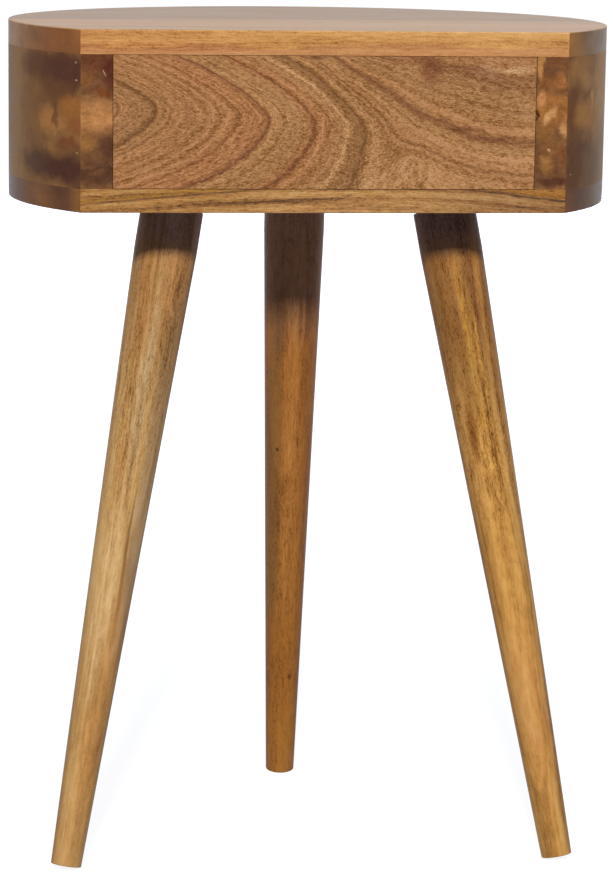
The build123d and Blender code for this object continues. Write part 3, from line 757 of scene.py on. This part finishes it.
# Small pale flecks and scratches, and the chipped lip of the right post, written the same way
PALE_FLECK = srgb(206, 176, 134)
CHIP = srgb(76, 36, 22)
LEFT_FLECKS = (
    (-0.1723, 0.5770, 0.0006, 0.0008, PALE_FLECK, 0.5),
    (-0.1719, 0.5649, 0.0007, 0.0006, PALE_FLECK, 0.8),
    (-0.1715, 0.5151, 0.0007, 0.0006, PALE_FLECK, 0.5),
    (-0.1536, 0.5714, 0.0004, 0.0010, PALE_FLECK, 0.6),
    (-0.1528, 0.5700, 0.0004, 0.0010, PALE_FLECK, 0.6),
    (-0.1520, 0.5686, 0.0004, 0.0010, PALE_FLECK, 0.4),
)
RIGHT_SIDE_PLACES = (
    (0.206, 0.560, 0.012, 0.06, srgb(202, 151, 93), 0.9),
    (0.206, 0.505, 0.012, 0.03, srgb(158, 122, 84), 0.85),
    (0.182, 0.576, 0.012, 0.009, srgb(174, 124, 73), 0.9),
    (0.187, 0.565, 0.007, 0.006, srgb(187, 135, 82), 0.85),
    (0.1745, 0.5400, 0.006, 0.015, srgb(120, 73, 42), 0.85),
    (0.1745, 0.5562, 0.006, 0.006, srgb(122, 79, 49), 0.9),
    (0.187, 0.541, 0.010, 0.010, srgb(188, 130, 73), 0.95),
    (0.193, 0.552, 0.002, 0.006, srgb(227, 173, 102), 0.5),
    (0.178, 0.506, 0.009, 0.017, srgb(112, 74, 47), 0.95),
    (0.194, 0.505, 0.009, 0.014, srgb(129, 94, 63), 0.85),
)
RIGHT_FRONT_PLACES = (
    (0.158, 0.547, 0.016, 0.012, srgb(163, 106, 55), 0.9),
    (0.162, 0.578, 0.010, 0.006, srgb(118, 75, 46), 0.95),
    (0.1545, 0.565, 0.006, 0.005, srgb(132, 82, 45), 0.9),
    (0.1635, 0.566, 0.005, 0.005, srgb(164, 106, 58), 0.85),
    (0.1498, 0.577, 0.0028, 0.010, srgb(185, 130, 74), 0.95),
    (0.1513, 0.5535, 0.0032, 0.006, srgb(198, 135, 85), 0.95),
    (0.1640, 0.5420, 0.0016, 0.0070, srgb(140, 88, 50), 0.6),
    (0.1545, 0.5375, 0.0024, 0.0026, srgb(200, 144, 94), 0.75),
    (0.1566, 0.5402, 0.0024, 0.0028, srgb(208, 152, 98), 0.8),
    (0.1588, 0.5436, 0.0022, 0.0030, srgb(196, 142, 90), 0.75),
    (0.1606, 0.5474, 0.0020, 0.0030, srgb(184, 130, 80), 0.7),
    (0.1672, 0.5330, 0.0028, 0.0050, srgb(208, 150, 92), 0.8),
    (0.1680, 0.5400, 0.0016, 0.0040, srgb(190, 122, 78), 0.7),
    (0.1545, 0.529, 0.007, 0.006, srgb(137, 92, 49), 0.85),
    (0.1600, 0.519, 0.009, 0.005, srgb(138, 91, 51), 0.85),
    (0.1672, 0.515, 0.005, 0.007, srgb(126, 76, 46), 0.85),
    (0.1550, 0.509, 0.005, 0.006, srgb(160, 111, 60), 0.8),
    (0.1595, 0.4962, 0.012, 0.0045, srgb(88, 54, 38), 0.97),
)
RIGHT_FLECKS = (
    (0.1735, 0.5008, 0.0006, 0.0006, PALE_FLECK, 0.5),
    (0.1566, 0.5186, 0.0009, 0.0007, PALE_FLECK, 0.8),
    (0.1574, 0.5174, 0.0006, 0.0006, PALE_FLECK, 0.6),
    (0.1478, 0.5445, 0.0008, 0.0022, CHIP, 0.9),
    (0.1486, 0.5428, 0.0010, 0.0016, srgb(70, 34, 22), 0.95),
    (0.1494, 0.5418, 0.0007, 0.0008, CHIP, 0.9),
    (0.1479, 0.5402, 0.0008, 0.0014, CHIP, 0.9),
)

# The wall's front pieces and posts have places of their own; the rear pieces are plain
give(
    wall_wood("left_wall_wood", 0.7, LEFT_SIDE_PLACES, LEFT_FRONT_PLACES, LEFT_FLECKS),
    "left_side_wall",
    "left_front_post",
)
give(
    wall_wood("right_wall_wood", 2.8, RIGHT_SIDE_PLACES, RIGHT_FRONT_PLACES, RIGHT_FLECKS),
    "right_side_wall",
    "right_front_post",
)
for number, node in enumerate(("left_rear_wall", "right_rear_wall", "back_wall")):
    give(wall_wood(f"{node}_wood", 5.3 * number + 4.9), node)


def marks(*places):
    """Long marks on a leg's front: along, across, half length, half width, tone and share."""

    def touch(finish, colour, grain, fibre):
        run, across, deep = finish.split(grain)
        wave = finish.noise(grain, (14, 60, 60), 3.0).swing(0.008)
        front = finish.rise(deep, -0.004, 0.004)
        for along, side, length, width, tone, share in places:
            near = finish.near((run - along) / length, (across + wave - side) / width, MARK_EDGE)
            colour = finish.blend(colour, tone, near * front * (fibre.swing(1.6) + 0.9) * share)
        return colour

    return touch


LEG_WOODS = {
    "front_left_leg": {
        "tones": KHAKI,
        "fibre_share": 0.75,
        "speck_share": 0.9,
        "ring_share": 0.6,
        "heart_share": 0.3,
        "pith": (0.016, 0.045),
        "calm_foot": 0.65,
        "mottle_share": 0.3,
        "touch": marks(
            (0.055, 0.002, 0.07, 0.030, srgb(166, 118, 70), 0.8),
            (0.060, 0.011, 0.05, 0.009, srgb(192, 137, 82), 0.7),
            (0.070, -0.0115, 0.05, 0.0035, srgb(182, 128, 71), 0.6),
            (0.062, -0.0062, 0.03, 0.0010, srgb(135, 92, 49), 0.5),
            (0.075, -0.0025, 0.05, 0.0022, srgb(182, 140, 89), 0.6),
            (0.150, -0.002, 0.06, 0.006, srgb(188, 155, 109), 0.75),
            (0.190, 0.0115, 0.13, 0.0055, srgb(176, 138, 93), 0.85),
            (0.300, 0.0095, 0.05, 0.0050, srgb(151, 109, 69), 0.85),
            (0.290, -0.0040, 0.08, 0.0085, srgb(215, 174, 118), 0.85),
            (0.262, 0.0058, 0.05, 0.0013, srgb(113, 75, 39), 0.7),
            (0.315, 0.0060, 0.040, 0.0012, srgb(138, 98, 60), 0.6),
            (0.400, 0.0010, 0.035, 0.006, srgb(209, 152, 86), 0.6),
            (0.370, 0.0060, 0.10, 0.006, srgb(201, 146, 83), 0.6),
            # Painted shade: a cooler, greyer tone at the top of the leg, where the case's shadow falls
            (0.006, 0.0, 0.034, 0.045, srgb(160, 122, 99), 0.95),
        ),
    },
    "front_right_leg": {
        "tones": OCHRE,
        "fibre_share": 0.8,
        "speck_share": 1.1,
        "ring_share": 0.6,
        "heart_share": 0.3,
        "pith": (-0.02, 0.04),
        "calm_foot": 0.75,
        "mottle_share": 0.45,
        "touch": marks(
            (0.055, 0.0, 0.110, 0.035, srgb(151, 103, 55), 0.9),
            (0.070, 0.0135, 0.09, 0.005, srgb(178, 120, 56), 0.8),
            (0.075, -0.0125, 0.05, 0.005, srgb(148, 98, 48), 0.8),
            (0.088, -0.0065, 0.03, 0.0030, srgb(148, 100, 53), 0.7),
            (0.055, -0.0035, 0.05, 0.0024, srgb(158, 98, 44), 0.8),
            (0.105, -0.0015, 0.04, 0.0024, srgb(190, 134, 60), 0.8),
            (0.060, 0.0070, 0.04, 0.0024, srgb(142, 92, 54), 0.8),
            (0.215, -0.0010, 0.016, 0.0030, srgb(188, 135, 70), 0.6),
            (0.385, 0.0090, 0.016, 0.0040, srgb(169, 118, 66), 0.7),
            (0.050, 0.0032, 0.03, 0.0014, srgb(158, 108, 60), 0.7),
            (0.104, 0.0041, 0.025, 0.0014, srgb(209, 150, 74), 0.8),
            (0.134, 0.0055, 0.025, 0.0014, srgb(220, 163, 80), 0.8),
            (0.14, -0.004, 0.035, 0.005, srgb(150, 104, 46), 0.6),
            (0.1725, -0.0092, 0.022, 0.003, srgb(141, 84, 31), 0.85),
            (0.163, -0.0016, 0.010, 0.0016, srgb(184, 131, 39), 0.8),
            (0.2117, -0.0049, 0.010, 0.0016, srgb(137, 76, 30), 0.8),
            (0.095, -0.0008, 0.060, 0.0045, srgb(190, 138, 62), 0.45),
            (0.236, -0.0018, 0.0022, 0.0009, srgb(116, 64, 32), 0.8),
            (0.260, 0.0, 0.11, 0.010, srgb(226, 168, 86), 0.55),
            (0.380, 0.0, 0.08, 0.014, srgb(199, 138, 74), 0.65),
            # Painted shade: a cooler, greyer tone at the top of the leg, where the case's shadow falls
            (0.006, 0.0, 0.034, 0.045, srgb(140, 105, 89), 0.95),
        ),
    },
    "rear_leg": {
        "tones": AMBER,
        "pith": (0.02, -0.05),
        "ring_share": 0.5,
        "streak_share": 0.5,
        "fibre_share": 0.6,
        "speck_share": 0.65,
        "pore_share": 0.15,
        "mottle_share": 0.3,
        "touch": marks(
            (0.280, 0.0020, 0.20, 0.0085, srgb(182, 120, 57), 0.7),
            (0.240, -0.0125, 0.22, 0.0055, srgb(138, 94, 49), 0.85),
            # Painted shade: a cooler tone down the rear leg's upper part, where the case's shadow falls
            (0.040, 0.0, 0.070, 0.035, srgb(155, 114, 83), 0.9),
            (0.105, -0.0110, 0.030, 0.0045, srgb(126, 86, 55), 0.8),
            (0.100, 0.0035, 0.022, 0.0018, srgb(125, 81, 51), 0.8),
            (0.100, 0.0095, 0.020, 0.0022, srgb(124, 80, 54), 0.8),
            (0.400, 0.0, 0.070, 0.030, srgb(164, 104, 41), 0.8),
            (0.330, 0.0080, 0.12, 0.006, srgb(167, 106, 45), 0.5),
            # Painted shade: a cooler, greyer tone at the very top of the rear leg, under the case
            (0.004, 0.0, 0.030, 0.045, srgb(165, 123, 94), 0.9),
            (0.394, 0.0038, 0.0026, 0.0014, srgb(89, 42, 23), 0.8),
            (0.2054, -0.0102, 0.0016, 0.0009, srgb(49, 28, 21), 0.95),
        ),
    },
}
for number, (node, lean) in enumerate(LEG_LEANS.items()):
    give(
        wood(
            f"{node}_wood",
            direction=(*lean, -CASE_FLOOR_Z),
            deep=FORWARD,
            start=LEG_TOPS[node],
            wander=0.04,
            seed=4.3 * number + 2.2,
            roughness=0.5,
            lacquer=LEG_LACQUER,
            **LEG_WOODS[node],
        ),
        node,
    )

# Inside and underneath: pale wood, sanded and left bare
BARE = {"lacquer": 0.0, "roughness": 0.6}
PALE_WOODS = {
    BACK: (
        "left_drawer_side",
        "right_drawer_side",
        "left_drawer_runner",
        "right_drawer_runner",
        "left_drawer_kicker",
        "right_drawer_kicker",
    ),
    RIGHT: ("drawer_back", "drawer_stop_rail"),
    UP: (
        "left_closing_stop",
        "right_closing_stop",
        "left_pull_out_stop",
        "right_pull_out_stop",
        "top_dowels",
        "bottom_dowels",
    ),
}
for direction, nodes in PALE_WOODS.items():
    for number, node in enumerate(nodes):
        give(
            wood(
                f"{node}_wood",
                direction=direction,
                deep=BACK if direction == UP else UP,
                tones=BEECH,
                seed=1.7 * number + 0.9,
                **BARE,
            ),
            node,
        )
give(
    wood("drawer_front_dowels_wood", direction=BACK, tones=BEECH, seed=6.1, **BARE),
    "drawer_front_dowels",
)
give(
    wood("drawer_bottom_wood", tones=BIRCH, pith=(0, -0.4), spacing=0.02, **BARE),
    "drawer_bottom_panel",
)


def painted_steel():
    """Black paint on the leg plates."""
    finish = Finish("black_painted_steel")
    grit = finish.noise(finish.spot, (900, 900, 900), 3.0, 0.6)
    cloud = finish.noise(finish.spot, (60, 60, 60), 2.0)
    colour = finish.blend(srgb(26, 25, 24), srgb(48, 46, 44), grit)
    return finish.surface(colour, grit * 0.2 + cloud * 0.1 + 0.35, grit, 0.3, 0.00008)


def zinc():
    """Zinc plating on screws and bolts."""
    finish = Finish("zinc_plated_steel")
    cloud = finish.noise(finish.spot, (300, 300, 300), 3.0)
    colour = finish.blend(srgb(150, 146, 132), srgb(196, 192, 180), cloud)
    return finish.surface(colour, cloud * 0.3 + 0.22, cloud, 0.1, 0.00005, {"Metallic": 1.0})


def felt():
    """Grey felt of the closing stops' pads."""
    finish = Finish("grey_felt")
    fluff = finish.noise(finish.spot, (1500, 1500, 1500), 4.0, 0.7)
    colour = finish.blend(srgb(40, 37, 35), srgb(78, 73, 68), fluff)
    return finish.surface(colour, fluff * 0.1 + 0.85, fluff, 0.8, 0.0004, {"Sheen Weight": 0.4})


give(painted_steel(), "front_left_leg_plate", "front_right_leg_plate", "rear_leg_plate")
give(
    zinc(),
    "runner_screws",
    "kicker_and_stop_rail_screws",
    "leg_hanger_bolts",
    "leg_plate_screws",
    "drawer_back_screws",
    "drawer_bottom_screws",
    "pull_out_stop_screws",
)
give(felt(), "closing_stop_pads")


# The camera, aimed and rolled
yaw, pitch, roll = (math.radians(angle) for angle in (CAMERA_YAW, CAMERA_PITCH, CAMERA_ROLL))
forward = Vector((math.sin(yaw) * math.cos(pitch), math.cos(yaw) * math.cos(pitch), -math.sin(pitch)))
level_right = Vector((math.cos(yaw), -math.sin(yaw), 0))
level_down = forward.cross(level_right)
camera_right = level_right * math.cos(roll) + level_down * math.sin(roll)
camera_down = level_down * math.cos(roll) - level_right * math.sin(roll)
camera = bpy.data.objects.new("camera", bpy.data.cameras.new("camera"))
camera.data.lens = CAMERA_LENS
camera.data.sensor_width = CAMERA_SENSOR
camera.data.clip_end = CAMERA_FAR_END
turn = Matrix((camera_right, -camera_down, -forward)).transposed().to_4x4()
camera.matrix_world = Matrix.Translation(CAMERA_PLACE) @ turn
bpy.context.scene.collection.objects.link(camera)
bpy.context.scene.camera = camera


def lamp(name, place, target, size, power, colour=(1.0, 1.0, 1.0), mirrored=True):
    """A square soft light, turned to face a point.

    One that isn't mirrored leaves no glare, and the camera doesn't see it.
    """
    light = bpy.data.lights.new(name, "AREA")
    light.size = size
    light.energy = power
    light.color = colour
    held = bpy.data.objects.new(name, light)
    held.location = place
    held.rotation_euler = (Vector(target) - Vector(place)).to_track_quat("-Z", "Y").to_euler()
    held.visible_camera = mirrored
    held.visible_glossy = mirrored
    bpy.context.scene.collection.objects.link(held)


CASE_MIDDLE = (0, 0, 0.45)
LEG_MIDDLE = (0, 0, 0.38)
WARM_WHITE = (1.0, 0.99, 0.95)
lamp("key_light", (-0.87, -6.2, 3.57), CASE_MIDDLE, 0.6, 440, WARM_WHITE, mirrored=False)
lamp("back_light", (2.4, 4.2, 5.0), CASE_MIDDLE, size=1.5, power=110)
lamp("low_back_light_left", (-0.9, 4.3, 0.38), LEG_MIDDLE, size=0.8, power=75, mirrored=False)
lamp("low_back_light_right", (1.5, 4.2, 0.38), LEG_MIDDLE, size=0.8, power=75, mirrored=False)

# World and floor: white to the camera and in reflections, dim for the light they give
DIM_COLOUR = (0.88, 0.98, 1.35, 1)
DIM_STRENGTH = 0.09
FLOOR_COLOUR = (0.20, 0.235, 0.34, 1)
FLOOR_REACH = 12.0
NEAR_WHITE = (1.0, 0.99, 0.972, 1)


def seen_directly(nodes):
    """1 for what shows to the camera, in gloss or through glass, and 0 for the light that it gives."""
    seen = nodes.node("LightPath", output="Is Camera Ray")
    for ray in ("Is Glossy Ray", "Is Transmission Ray"):
        seen = nodes.math("MAXIMUM", seen, nodes.node("LightPath", output=ray))
    return seen


world = bpy.data.worlds.new("studio")
bpy.context.scene.world = world
sky = Nodes(world)
dim = sky.node("Background", sockets={"Color": DIM_COLOUR, "Strength": DIM_STRENGTH})
bright = sky.node("Background", sockets={"Color": WHITE, "Strength": 1.0})
mixed = sky.node("MixShader", sockets={0: seen_directly(sky), 1: dim, 2: bright})
sky.node("OutputWorld", sockets={"Surface": mixed})

floor_mesh = bpy.data.meshes.new("floor")
floor_corners = [(x * FLOOR_REACH, y * FLOOR_REACH, 0) for x, y in ((-1, -1), (1, -1), (1, 1), (-1, 1))]
floor_mesh.from_pydata(floor_corners, [], [(0, 1, 2, 3)])
floor = bpy.data.objects.new("floor", floor_mesh)
bpy.context.scene.collection.objects.link(floor)
paper = Finish("pale_floor")
far = paper.vector("LENGTH", paper.spot, number=True)
strength = seen_directly(paper) * (paper.rise(far, 0.3, 1.1) * 0.1 + 0.9)
glow_colour = paper.blend(NEAR_WHITE, WHITE, paper.rise(far, 1.4, 3.0))
glow = paper.node("Emission", sockets={"Color": glow_colour, "Strength": strength})
plain = paper.node("BsdfDiffuse", sockets={"Color": FLOOR_COLOUR})
shader = paper.node("AddShader", sockets={0: plain, 1: glow})
# From below, the floor is left out
underneath = paper.node("NewGeometry", output="Backfacing")
shader = paper.node("MixShader", sockets={0: underneath, 1: shader, 2: paper.node("BsdfTransparent")})
paper.node("OutputMaterial", sockets={"Surface": shader})
floor_mesh.materials.append(paper.owner)

bpy.context.scene.view_settings.view_transform = "Standard"
